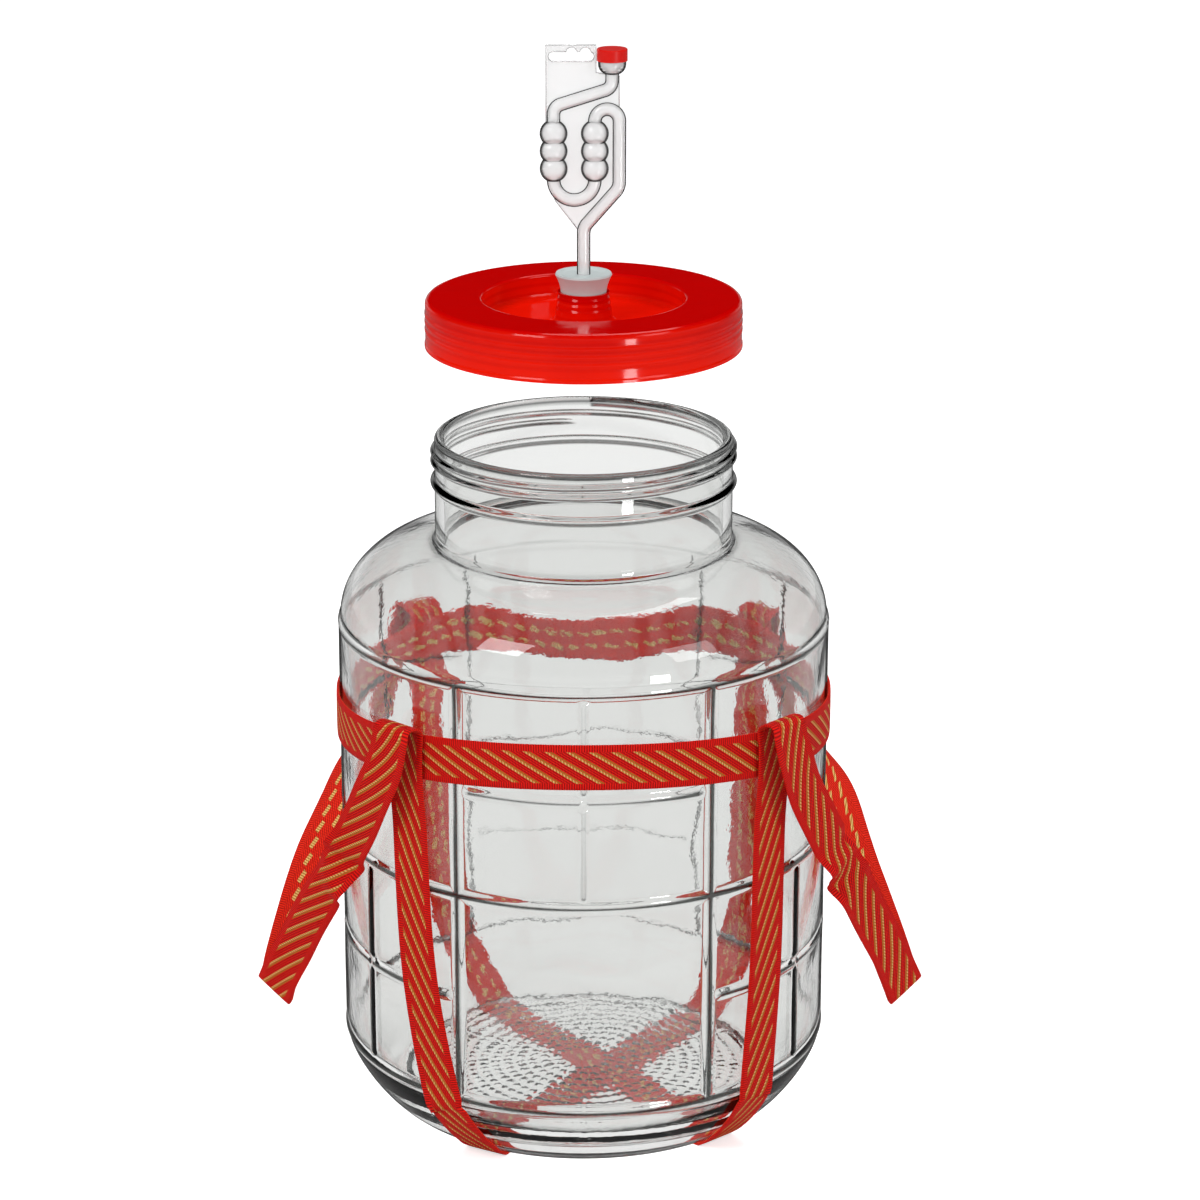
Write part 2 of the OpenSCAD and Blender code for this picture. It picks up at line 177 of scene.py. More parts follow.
def span(nodes_, links_, value, low, high, to_low=0.0, to_high=1.0):
    made = nodes_.new("ShaderNodeMapRange")
    made.interpolation_type = "SMOOTHSTEP"
    links_.new(value, made.inputs[0])
    for slot, number in zip((1, 2, 3, 4), (low, high, to_low, to_high)):
        made.inputs[slot].default_value = number
    return made.outputs[0]


def painted_dark_edge(nodes_, links_, shader, share, shade):
    """Paints the dark line that clear walls show where they are seen edge on, as painted shade: a dark see-through
    sheet mixed in.
    """
    line = node(nodes_, "BsdfTransparent")
    line.inputs["Color"].default_value = (shade, shade, shade, 1)
    mixer = node(nodes_, "MixShader")
    links_.new(share, mixer.inputs[0])
    links_.new(shader, mixer.inputs[1])
    links_.new(line.outputs[0], mixer.inputs[2])
    return mixer.outputs[0]


def shadow_free(nodes_, links_, shader, clear):
    """Lets lamps shine through a clear material, so that what stands in it is lit."""
    out = node(nodes_, "OutputMaterial")
    path = node(nodes_, "LightPath")
    open_ = node(nodes_, "BsdfTransparent")
    open_.inputs["Color"].default_value = clear
    mixer = node(nodes_, "MixShader")
    links_.new(path.outputs["Is Shadow Ray"], mixer.inputs[0])
    links_.new(shader, mixer.inputs[1])
    links_.new(open_.outputs[0], mixer.inputs[2])
    links_.new(mixer.outputs[0], out.inputs["Surface"])


def glass_material():
    material, n, l = new_material("clear_glass")
    shader = node(n, "BsdfPrincipled")
    shader.inputs["IOR"].default_value = 1.5
    shader.inputs["Roughness"].default_value = 0.0
    shader.inputs["Transmission Weight"].default_value = 1.0
    facing = node(n, "LayerWeight")
    facing.inputs["Blend"].default_value = 0.5
    # The relief's core gathers the dark surroundings where the wall turns away; this is painted shade, darkening the
    # glass colour towards black there and along the neck's painted dark lines
    core = node(n, "Attribute", attribute_name="core")
    turned = span(n, l, facing.outputs["Facing"], 0.035, 0.16)
    painted_dark_share = maths(n, l, "MULTIPLY", core.outputs["Fac"], turned, clamp=True)
    dark = node(n, "Attribute", attribute_name="dark")
    painted_dark_share = maths(n, l, "MAXIMUM", painted_dark_share, dark.outputs["Fac"])
    colour = blend_colour(n, l, painted_dark_share, (0.845, 0.852, 0.842, 1), (0.012, 0.013, 0.012, 1))
    l.new(colour, shader.inputs["Base Color"])
    # Inside, the blown wall is finely uneven
    inner = node(n, "Attribute", attribute_name="inner")
    place = node(n, "TexCoord")
    noise = node(n, "TexNoise")
    noise.inputs["Scale"].default_value = 170
    noise.inputs["Detail"].default_value = 3
    l.new(place.outputs["Object"], noise.inputs["Vector"])
    bump = node(n, "Bump")
    bump.inputs["Distance"].default_value = 0.0004
    l.new(maths(n, l, "MULTIPLY", inner.outputs["Fac"], 0.16), bump.inputs["Strength"])
    l.new(noise.outputs["Fac"], bump.inputs["Height"])
    l.new(bump.outputs[0], shader.inputs["Normal"])
    # Painted shade: a dark outline where the wall is seen edge on
    rim = span(n, l, facing.outputs["Facing"], 0.86, 0.97)
    edged = painted_dark_edge(n, l, shader.outputs[0], maths(n, l, "MULTIPLY", rim, 0.93), 0.03)
    shadow_free(n, l, edged, (0.97, 0.97, 0.97, 1))
    return material


def clear_plastic_material():
    material, n, l = new_material("clear_plastic")
    shader = node(n, "BsdfPrincipled")
    shader.inputs["IOR"].default_value = 1.48
    shader.inputs["Roughness"].default_value = 0.05
    shader.inputs["Transmission Weight"].default_value = 0.66
    shader.inputs["Base Color"].default_value = (0.985, 0.985, 0.985, 1)
    facing = node(n, "LayerWeight")
    facing.inputs["Blend"].default_value = 0.5
    rim = span(n, l, facing.outputs["Facing"], 0.34, 0.52)
    # The flat web stays clear from every side; only the round walls get the painted dark outline, painted shade seen
    # edge on
    place = node(n, "TexCoord")
    parts = node(n, "SeparateXYZ")
    l.new(place.outputs["Normal"], parts.inputs[0])
    flat = span(n, l, maths(n, l, "ABSOLUTE", parts.outputs["Y"]), 0.95, 0.99, 1.0, 0.0)
    rim = maths(n, l, "MULTIPLY", rim, flat)
    noise = node(n, "TexNoise")
    noise.inputs["Scale"].default_value = 140
    bump = node(n, "Bump")
    bump.inputs["Strength"].default_value = 0.03
    bump.inputs["Distance"].default_value = 0.001
    l.new(noise.outputs["Fac"], bump.inputs["Height"])
    l.new(bump.outputs[0], shader.inputs["Normal"])
    edged = painted_dark_edge(n, l, shader.outputs[0], maths(n, l, "MULTIPLY", rim, 0.9), 0.05)
    shadow_free(n, l, edged, (0.9, 0.9, 0.9, 1))
    return material


def lid_material():
    material, n, l = new_material("red_lid_plastic")
    shader = node(n, "BsdfPrincipled")
    shader.inputs["Roughness"].default_value = 0.10
    shader.inputs["Specular IOR Level"].default_value = 0.22
    place = node(n, "TexCoord")
    noise = node(n, "TexNoise")
    noise.inputs["Scale"].default_value = 16
    noise.inputs["Detail"].default_value = 3
    l.new(place.outputs["Object"], noise.inputs["Vector"])
    parts = node(n, "SeparateXYZ")
    l.new(place.outputs["Object"], parts.inputs[0])
    # Painted shade: the red darkens towards the top of the lid and is darkest on its flat top face; the noise adds
    # random tone
    low = span(n, l, parts.outputs["Z"], 0.4300, 0.4550, 0.85, 0.55)
    top = span(n, l, parts.outputs["Z"], 0.4550, 0.4562, 1.0, 0.0)
    glow = maths(n, l, "MULTIPLY_ADD", noise.outputs["Fac"], 0.7, low)
    tone_and_painted_shade = maths(n, l, "MULTIPLY", span(n, l, glow, 0.55, 1.25), top)
    # Painted shade: soft darker level bands in the skirt
    height = maths(n, l, "MULTIPLY", parts.outputs["Z"], 2 * math.pi / 0.0046)
    painted_shade_bands = span(n, l, maths(n, l, "COSINE", height), -0.2, 1.0, 0.0, 0.42)
    skirt = span(n, l, parts.outputs["Z"], 0.4335, 0.4375)
    painted_shade_bands = maths(n, l, "MULTIPLY", maths(n, l, "MULTIPLY", painted_shade_bands, skirt), noise.outputs["Fac"])
    tone_and_painted_shade = maths(n, l, "SUBTRACT", tone_and_painted_shade, painted_shade_bands, clamp=True)
    colour = blend_colour(n, l, tone_and_painted_shade, (0.60, 0.0, 0.0, 1), (0.92, 0.010, 0.001, 1))
    l.new(colour, shader.inputs["Base Color"])
    fine = node(n, "TexNoise")
    fine.inputs["Scale"].default_value = 55
    fine.inputs["Detail"].default_value = 2
    l.new(place.outputs["Object"], fine.inputs["Vector"])
    bump = node(n, "Bump")
    bump.inputs["Strength"].default_value = 0.10
    bump.inputs["Distance"].default_value = 0.002
    l.new(fine.outputs["Fac"], bump.inputs["Height"])
    l.new(bump.outputs[0], shader.inputs["Normal"])
    out = node(n, "OutputMaterial")
    l.new(shader.outputs[0], out.inputs["Surface"])
    return material


def plain_material(name, colour, other, roughness, scale, bump_strength, coat=0.0):
    material, n, l = new_material(name)
    shader = node(n, "BsdfPrincipled")
    shader.inputs["Roughness"].default_value = roughness
    shader.inputs["Coat Weight"].default_value = coat
    shader.inputs["Specular IOR Level"].default_value = 0.25
    place = node(n, "TexCoord")
    noise = node(n, "TexNoise")
    noise.inputs["Scale"].default_value = scale
    noise.inputs["Detail"].default_value = 4
    l.new(place.outputs["Object"], noise.inputs["Vector"])
    l.new(blend_colour(n, l, noise.outputs["Fac"], colour, other), shader.inputs["Base Color"])
    bump = node(n, "Bump")
    bump.inputs["Strength"].default_value = bump_strength
    bump.inputs["Distance"].default_value = 0.0006
    l.new(noise.outputs["Fac"], bump.inputs["Height"])
    l.new(bump.outputs[0], shader.inputs["Normal"])
    out = node(n, "OutputMaterial")
    l.new(shader.outputs[0], out.inputs["Surface"])
    return material


def webbing_material(name, slant, reverse_slant):
    """Woven tape. U runs along it and V across it, in millimetres; face is 1 on its good side."""
    material, n, l = new_material(name)
    uv = node(n, "UVMap", uv_map="tape")
    parts = node(n, "SeparateXYZ")
    l.new(uv.outputs[0], parts.inputs[0])
    u, v = parts.outputs["X"], parts.outputs["Y"]
    face = node(n, "Attribute", attribute_name="face").outputs["Fac"]

    def wave(value, pitch, sharp=None):
        turned = maths(n, l, "MULTIPLY", value, 2 * math.pi / pitch)
        return maths(n, l, "COSINE", turned)

    across = maths(n, l, "ABSOLUTE", v)
    middle = span(n, l, across, 8.3, 8.9, 1.0, 0.0)
    # Gold lines on the good side, each with a shaded companion below it
    ca, sa = math.cos(math.radians(slant)), math.sin(math.radians(slant))
    line = maths(n, l, "MULTIPLY_ADD", u, -sa, maths(n, l, "MULTIPLY", v, ca))
    along = maths(n, l, "MULTIPLY_ADD", u, ca, maths(n, l, "MULTIPLY", v, sa))
    share = maths(n, l, "FRACT", maths(n, l, "DIVIDE", line, STRIPE_PITCH))
    away = maths(n, l, "ABSOLUTE", maths(n, l, "SUBTRACT", share, 0.5))
    gold = span(n, l, away, 0.06, 0.10, 1.0, 0.0)
    below = maths(n, l, "ABSOLUTE", maths(n, l, "SUBTRACT", share, 0.69))
    shade = span(n, l, below, 0.05, 0.09, 1.0, 0.0)
    cords = maths(n, l, "MULTIPLY_ADD", wave(line, STRIPE_PITCH / 5), 0.5, 0.5)
    twist = maths(n, l, "MULTIPLY_ADD", wave(maths(n, l, "MULTIPLY_ADD", line, 0.8, along), 1.9), 0.5, 0.5)
    ribs = maths(n, l, "POWER", maths(n, l, "MULTIPLY_ADD", wave(u, 1.3), 0.5, 0.5), 0.6)
    # Short gold floats on the reverse side, in rows that step along the tape
    run = maths(n, l, "DIVIDE", maths(n, l, "MULTIPLY_ADD", v, 0.66, u), 10.5)
    run = maths(n, l, "SUBTRACT", maths(n, l, "FRACT", run), 0.5)
    row = maths(n, l, "DIVIDE", maths(n, l, "MULTIPLY_ADD", run, reverse_slant, v), 8.0)
    row = maths(n, l, "ABSOLUTE", maths(n, l, "SUBTRACT", maths(n, l, "FRACT", row), 0.5))
    run = maths(n, l, "ABSOLUTE", run)
    floats = maths(n, l, "MULTIPLY", span(n, l, row, 0.10, 0.15, 1.0, 0.0), span(n, l, run, 0.37, 0.42, 1.0, 0.0))
    floats = maths(n, l, "MULTIPLY", floats, span(n, l, across, 7.6, 8.2, 1.0, 0.0))
    front_gold = maths(n, l, "MULTIPLY", maths(n, l, "MULTIPLY", gold, middle), face)
    back_gold = maths(n, l, "MULTIPLY", floats, maths(n, l, "SUBTRACT", 1.0, face))
    gold_all = maths(n, l, "ADD", front_gold, back_gold, clamp=True)
    shaded = maths(n, l, "MULTIPLY", maths(n, l, "MULTIPLY", shade, middle), face)
    # Painted shade: the yarn is dark between the cords and between the border's ribs, with a slow drift of tone
    weave = maths(n, l, "MULTIPLY", maths(n, l, "POWER", cords, 0.4), maths(n, l, "MULTIPLY_ADD", twist, 0.45, 0.55))
    height = maths(n, l, "MULTIPLY", weave, middle)
    border = maths(n, l, "MULTIPLY", ribs, maths(n, l, "SUBTRACT", 1.0, middle))
    height = maths(n, l, "ADD", height, border)
    drift = node(n, "TexNoise")
    drift.inputs["Scale"].default_value = 0.05
    l.new(uv.outputs[0], drift.inputs["Vector"])
    lit = blend_colour(n, l, face, (1.0, 0.03, 0.008, 1), (1.0, 0.010, 0.004, 1))
    gap = blend_colour(n, l, face, (0.42, 0.003, 0.001, 1), (0.26, 0.0, 0.0, 1))
    red = blend_colour(n, l, height, gap, lit)
    red = blend_colour(n, l, maths(n, l, "MULTIPLY", drift.outputs["Fac"], 0.2), red, (0.78, 0.002, 0.0, 1))
    shadow = blend_colour(n, l, maths(n, l, "MULTIPLY", shaded, 0.9), red, (0.48, 0.20, 0.024, 1))
    # Painted shade and highlight along the twist of the gold yarn
    thread = blend_colour(n, l, twist, (0.48, 0.18, 0.016, 1), (1.0, 0.68, 0.24, 1))
    colour = blend_colour(n, l, gold_all, shadow, thread)
    shader = node(n, "BsdfPrincipled")
    l.new(colour, shader.inputs["Base Color"])
    shader.inputs["Roughness"].default_value = 0.62
    shader.inputs["Sheen Weight"].default_value = 0.03
    shader.inputs["Sheen Roughness"].default_value = 0.4
    shader.inputs["Sheen Tint"].default_value = (1, 0.25, 0.15, 1)
    shader.inputs["Specular IOR Level"].default_value = 0.12
    raised = maths(n, l, "MULTIPLY_ADD", gold_all, 0.6, height)
    bump = node(n, "Bump")
    bump.inputs["Strength"].default_value = 0.8
    bump.inputs["Distance"].default_value = 0.0007
    l.new(raised, bump.inputs["Height"])
    l.new(bump.outputs[0], shader.inputs["Normal"])
    out = node(n, "OutputMaterial")
    l.new(shader.outputs[0], out.inputs["Surface"])
    return material


# Glass jar

def quarter(r0, z0, a, b, power, degrees):
    t = np.radians(degrees)
    return r0 + a * np.cos(t) ** (2 / power), z0 + b * np.sin(t) ** (2 / power)


def jar_profile():
    """Rows of the jar's outside from the base's middle to the rim, then its inside back down."""
    r, z, zone = [], [], []

    def add(rr, zz, name):
        rr, zz = np.atleast_1d(rr).astype(float), np.atleast_1d(zz).astype(float)
        rr, zz = np.broadcast_arrays(rr, zz)
        r.extend(rr)
        z.extend(zz)
        zone.extend([name] * len(rr))

    under = np.linspace(0.4, FOOT_R - 10, 92)
    add(under, 7 - 2.6 * (under / (FOOT_R - 10)) ** 2, "under")
    t = np.linspace(0.1, 1, 7)
    add(lerp(FOOT_R - 10, FOOT_R - 5, t), lerp(4.4, 0, ease(t)), "foot")
    add(np.linspace(FOOT_R - 3.5, FOOT_R - 0.5, 3), 0, "foot")
    rr, zz = quarter(FOOT_R, HEEL_H, BODY_R - FOOT_R, -HEEL_H, 1.3, np.linspace(88.5, 0, 26))
    add(rr, zz, "heel")
    marks = [HEEL_H + 0.4]
    for level in range(5):
        middle = GRID_Z + level * RING_PITCH
        marks += list(middle + np.linspace(-5, 5, 17))
        if level < 4:
            marks += list(middle + RING_PITCH / 2 + np.linspace(-RING_PITCH / 2 + 6.3, RING_PITCH / 2 - 6.3, 15))
    marks = np.unique(np.round([m for m in marks if HEEL_H < m < SHOULDER_Z], 3))
    add(BODY_R, marks, "wall")
    rr, zz = quarter(NECK_R - 7, SHOULDER_Z, BODY_R - NECK_R + 7, 45.0, 2.18, np.linspace(0, 79.2, 42))
    add(rr, zz, "dome")
    t = np.radians(np.linspace(250, 180, 7))
    add(NECK_R + 3 + 3 * np.cos(t), SHOULDER_Z + 47.4 + 3 * np.sin(t), "fillet")
    add(NECK_R, np.arange(SHOULDER_Z + 49, JAR_H - 3.0, 0.42), "neck")
    lip = (NECK_R - MOUTH_R) / 2
    t = np.radians(np.linspace(0, 180, 16))
    add(NECK_R - lip + lip * np.cos(t), JAR_H - lip + lip * np.sin(t), "lip")
    add(MOUTH_R, np.linspace(JAR_H - 5, SHOULDER_Z + 43, 16), "inner_neck")
    inner = BODY_R - GLASS_WALL
    rr, zz = quarter(MOUTH_R, SHOULDER_Z, inner - MOUTH_R, 41.0, 2.1, np.linspace(88, 0, 34))
    add(rr, zz, "inner_dome")
    add(inner, np.linspace(SHOULDER_Z - 3, HEEL_H + 5, 56), "inner_wall")
    foot_in = FOOT_R - 6
    rr, zz = quarter(foot_in, HEEL_H + 2, inner - foot_in, 9 - HEEL_H - 2, 1.4, np.linspace(0, 88.5, 20))
    add(rr, zz, "inner_heel")
    floor = np.linspace(foot_in - 2, 0.4, 34)
    add(floor, 13 - 4 * (floor / foot_in) ** 2, "inner_floor")
    return np.array(r), np.array(z), np.array(zone)


def rib_columns():
    """Angles of the grid's columns, close together where upright ribs stand."""
    fine = np.degrees(np.linspace(-5.2, 5.2, 15) / BODY_R)
    wide = np.linspace(0, 30, 19)
    wide = [w for w in wide if fine[-1] + 0.8 < w < 30 - fine[-1] - 0.8]
    angles = []
    for k in range(12):
        angles += list(30 * k - 180 + fine) + list(30 * k - 180 + np.array(wide))
    return np.sort(np.array(angles))


def bead(distance, half, proud):
    x = np.clip(np.abs(distance) / half, 0, 1)
    return proud * np.cos(x * math.pi / 2) ** 1.6


def from_segment(value, low, high):
    """How far a value lies outside a span, 0 inside it."""
    return np.maximum(np.maximum(low - value, value - high), 0)


def rib_heights(angle, z):
    """How far the outside stands proud of the plain wall, by the cast rib grid."""
    height = np.zeros(np.broadcast(angle, z).shape)
    # Full rings
    for level in (0, 2, 4):
        height = np.maximum(height, bead(z - (GRID_Z + level * RING_PITCH), 4.2, PROUD) + 0 * angle)
    # Upright ribs between the first and the last ring
    for k in range(12):
        at = 30 * k - 180
        turned = (angle - at + 180) % 360 - 180
        side = np.radians(turned) * BODY_R
        if k % 2 == 1:
            reach = from_segment(z, GRID_Z, SHOULDER_Z)
            height = np.maximum(height, bead(np.hypot(side, reach), 4.2, PROUD))
            continue
        upper = at % 120 == 0
        low = GRID_Z + (2 * RING_PITCH if upper else 0)
        for part in (0, 1):
            bottom = low + part * RING_PITCH + 5.5
            reach = from_segment(z, bottom, bottom + RING_PITCH - 11)
            height = np.maximum(height, bead(np.hypot(side, reach), 3.9, 1.05))
        # The level bars that cross it halfway
        middle = low + RING_PITCH
        for hand in (-1, 1):
            across = np.radians(turned) * BODY_R
            inner_end, outer_end = 3.0, math.radians(30) * BODY_R - 6.5
            reach = from_segment(across * hand, inner_end, outer_end)
            height = np.maximum(height, bead(np.hypot(z - middle, reach), 3.9, 1.05))
    return height


def thread_heights(angle, z):
    """The two turns of the neck's thread, from the back round by the right to the back again."""
    height = np.zeros(np.broadcast(angle, z).shape)
    start, turn, pitch, top = 187.4, 726.0, 5.2, 374.4
    for k in range(3):
        t = start - angle + 360 * k
        along = np.clip(t / 8, 0, 1) * np.clip((turn - t) / 8, 0, 1)
        height = np.maximum(height, bead(z - (top - pitch * t / 360), 1.9, 2.2) * np.clip(along, 0, 1))
    return height


def base_dimples(angle, r):
    """Rings of small dimples round a plain middle."""
    depth = np.zeros(np.broadcast(angle, r).shape)
    for k, ring in enumerate(np.arange(15.0, 93.0, 7.0)):
        count = int(round(2 * math.pi * ring / 5.9))
        a = (angle / 360 * count + 0.5 * (k % 2)) % 1 - 0.5
        across = a * 2 * math.pi * ring / count
        depth = np.maximum(depth, bead(np.hypot(across, r - ring), 2.5, 1.0))
    return depth


def build_jar():
    r, z, zone = jar_profile()
    angle = rib_columns()[None, :]
    rr = np.repeat(r[:, None], angle.size, 1)
    zz = np.repeat(z[:, None], angle.size, 1)
    # Row normals in the profile's own plane
    dr, dz = np.gradient(r), np.gradient(z)
    length = np.hypot(dr, dz)
    nr, nz = dz / length, -dr / length
    push = np.zeros_like(rr)
    outside = np.isin(zone, ("heel", "wall", "dome"))
    push[outside] = rib_heights(angle, z[outside][:, None])
    neck = np.isin(zone, ("neck",))
    bead_z = 353.6
    push[neck] = np.maximum(thread_heights(angle, z[neck][:, None]), bead(z[neck][:, None] - bead_z, 3.0, 2.25))
    under = zone == "under"
    push[under] = -base_dimples(angle, r[under][:, None])
    # Blown glass is never quite true inside
    rad = np.radians(angle)
    inner = np.isin(zone, ("inner_wall", "inner_dome", "inner_heel"))
    zi = z[inner][:, None]
    fade = np.clip((zi - 30) / 60, 0, 1) * np.clip((330 - zi) / 40, 0, 1)
    wave = (np.sin(3 * rad + zi / 21) + 0.8 * np.sin(7 * rad - zi / 13 + 1.7) + 0.5 * np.sin(13 * rad + zi / 8.5)
            + 0.4 * np.sin(19 * rad - zi / 6.1 + 0.6))
    push[inner] = -0.09 * wave * fade
    wall = np.isin(zone, ("wall", "dome"))
    zo = z[wall][:, None]
    push[wall] += 0.05 * (np.sin(5 * rad + zo / 17) + np.sin(11 * rad - zo / 9.0 + 2))
    rr = rr + push * nr[:, None]
    zz = zz + push * nz[:, None]
    x, y = rr * np.sin(rad), -rr * np.cos(rad)
    points = np.stack([x, y, zz + BASE_Z], -1).reshape(-1, 3)
    rows, cols = rr.shape
    quads = revolve_quads(rows, cols)
    caps = [[0, 0, 7.0 + BASE_Z], [0, 0, 13.0 + BASE_Z]]
    first, last = len(points), len(points) + 1
    c = np.arange(cols)
    n = (c + 1) % cols
    tris = np.concatenate([np.stack([np.full(cols, first), n, c], -1),
                           np.stack([np.full(cols, last), (rows - 1) * cols + c, (rows - 1) * cols + n], -1)])
    points = np.concatenate([points, caps])
    jar = mesh_from("glass_jar", points, quads, tris)
    # Where the cast relief is high, for its painted dark core, and where the surface is the inside
    core = np.zeros_like(rr)
    core[outside] = ease((push[outside] / PROUD - 0.60) / 0.20)
    point_values(jar, "core", np.concatenate([core.ravel(), [0, 0]]))
    inside = np.repeat(inner[:, None], angle.size, 1)
    point_values(jar, "inner", np.concatenate([inside.ravel(), [0, 0]]))
    # Painted shade: the undersides of the neck's thread and bead, both sides of the lip and the fillet under the neck
    # show as painted dark lines
    climb = np.gradient(push[neck], axis=0) / np.gradient(z[neck])[:, None]
    dark = np.zeros_like(rr)
    dark[neck] = 0.97 * ease((climb - 0.2) / 0.5) + 0.5 * ease((-climb - 0.5) / 0.6)
    t = np.linspace(0, 180, int(np.sum(zone == "lip")))
    dark[zone == "lip"] = (0.96 * ease(1.15 - t / 55) + 0.96 * ease((t - 128) / 45))[:, None]
    dark[zone == "fillet"] = 0.35
    point_values(jar, "dark", np.concatenate([dark.ravel(), [0, 0]]))
    jar.data.materials.append(glass_material())
    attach(jar, "jar")
    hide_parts("jar")
    return jar


# Woven tape

def smooth_path(points, step):
    """Points every step millimetres along a Catmull-Rom curve, with where each falls in the first list."""
    points = np.asarray(points, float)
    n = len(points)
    out, where = [], []
    for i in range(n - 1):
        p0, p1 = points[max(i - 1, 0)], points[i]
        p2, p3 = points[i + 1], points[min(i + 2, n - 1)]
        count = max(1, int(math.ceil(np.linalg.norm(p2 - p1) / step)))
        for k in range(count):
            t = k / count
            out.append(0.5 * (2 * p1 + (p2 - p0) * t + (2 * p0 - 5 * p1 + 4 * p2 - p3) * t * t
                              + (3 * p1 - p0 - 3 * p2 + p3) * t ** 3))
            where.append(i + t)
    out.append(points[-1])
    where.append(n - 1)
    return np.array(out), np.array(where)


def tape(name, centre, across, closed=False, face_sign=-1, width=STRAP_W, thick=STRAP_T, step=2.2, curl=None):
    """A woven tape along centre points with the way of its width at each, in millimetres.

    curl gives, for distances along it, how far its edges lift, how far it is pushed and how far its edges
    tilt to opposite sides, all along its face.
    """
    centre, across = np.asarray(centre, float), np.asarray(across, float)
    if closed:
        ring = len(centre)
        pts = np.concatenate([centre[-2:], centre, centre[:3]])
        wid = np.concatenate([across[-2:], across, across[:3]])
        path, where = smooth_path(pts, step)
        keep = (where >= 2) & (where < 2 + ring - 1e-6)
        path, where = path[keep], where[keep]
        wide = np.stack([np.interp(where, np.arange(len(wid)), wid[:, k]) for k in range(3)], -1)
        way = unit(np.roll(path, -1, 0) - np.roll(path, 1, 0))
    else:
        path, where = smooth_path(centre, step)
        wide = np.stack([np.interp(where, np.arange(len(across)), across[:, k]) for k in range(3)], -1)
        way = unit(np.gradient(path, axis=0))
    wide = unit(wide - way * np.sum(wide * way, -1, keepdims=True))
    normal = unit(np.cross(wide, way))
    gap = np.linalg.norm(np.diff(path, axis=0), axis=1)
    along = np.concatenate([[0], np.cumsum(gap)])
    lift, shift, tilt = curl(along, along[-1]) if curl else np.zeros((3, len(along)))
    # The cross-section: two slightly crowned faces and round selvedges
    half, t = width / 2, thick / 2
    steps = np.linspace(-1, 1, 13)
    top = [(half * s * 0.985, t * (1 - 0.25 * abs(s) ** 6), 1.0) for s in steps]
    low = [(half * s * 0.985, -t * (1 - 0.25 * abs(s) ** 6), 0.0) for s in steps[::-1]]
    section = top + [(half, 0.0, 1.0)] + low + [(-half, 0.0, 1.0)]
    if face_sign < 0:
        section = [(a, b, 1.0 - f) for a, b, f in section]
    k = len(section)
    n = len(path)
    points = np.empty((n, k, 3))
    for j, (a, b, _) in enumerate(section):
        edge = a / half
        points[:, j] = path + wide * a + normal * (b + shift + lift * edge ** 2 + tilt * edge)[:, None]
    points[:, :, 2] = np.maximum(points[:, :, 2], 0.0)
    quads, uvs = [], []
    last = n if closed else n - 1
    for i in range(last):
        m = (i + 1) % n
        u0, u1 = along[i], along[i + 1] if i + 1 < n else along[i] + gap[-1]
        for j in range(k):
            p = (j + 1) % k
            quads.append((i * k + j, i * k + p, m * k + p, m * k + j))
            v0, v1 = section[j][0], section[p][0]
            uvs += [(u0, v0), (u0, v1), (u1, v1), (u1, v0)]
    tris = []
    if not closed:
        for end, flip in ((0, True), (n - 1, False)):
            base = end * k
            for j in range(1, k - 1):
                tri = (base, base + j, base + j + 1)
                tris.append(tri[::-1] if flip else tri)
                uvs += [(along[end], 0.0)] * 3
    piece = mesh_from(name, points.reshape(-1, 3), quads, tris)
    layer = piece.data.uv_layers.new(name="tape")
    layer.data.foreach_set("uv", np.array(uvs, np.float32).ravel())
    point_values(piece, "face", np.tile([f for _, _, f in section], n))
    return piece, float(along[-1] - along[0])


def belt_height(angle):
    """The belt's middle, which hangs lower behind the rear joints."""
    past = np.abs(180 - np.mod(angle, 360))
    drop = REAR_SAG * ease((37 - past) / 37)
    return BASE_Z + 231 + 6.5 * np.cos(2 * np.radians(angle)) - drop


JOINT_LEFT, JOINT_RIGHT, FOOT_LEFT, FOOT_RIGHT = 43.0, 47.0, 29.5, 42.0
JOINT_Z = float(belt_height(45)) + STRAP_W / 2 + 2
FOLD_R, FOLD_OUT = 3.5, 3.5
FOLD_CENTRE = STRAP_IN + STRAP_T + FOLD_OUT + FOLD_R
PIVOT_Z = JOINT_Z + 1
SKIN = 0.2
FOOT_GAP = 0.05
HEEL_SLACK = 0.4
SETTLED = 0.93


def strap_way():
    drop, curve = JOINT_Z - BASE_Z - HEEL_H, 46.0
    total = drop + curve
    way = []
    for i in range(9):
        z = JOINT_Z - drop * i / 8
        near = float(ease(min(1, max(0, (z - 231 + 34) / 16))))
        way.append((lerp(BELT_IN, STRAP_IN, near) + STRAP_T / 2, z, (JOINT_Z - z) / total))
    for i in range(1, 9):
        t = 90 * i / 8
        r, z = quarter(FOOT_R, HEEL_H, BODY_R - FOOT_R, -HEEL_H, 1.3, t)
        s, c = math.sin(math.radians(t)), math.cos(math.radians(t))
        out = lerp(BELT_IN - BODY_R, SKIN, s) + STRAP_T / 2
        out += HEEL_SLACK * math.sin(math.radians(2 * t))
        lift = BASE_Z + float(z) - out * s + (SKIN - FOOT_GAP) * s
        way.append((float(r) + out * c, lift, (drop + curve * i / 8) / total))
    return way


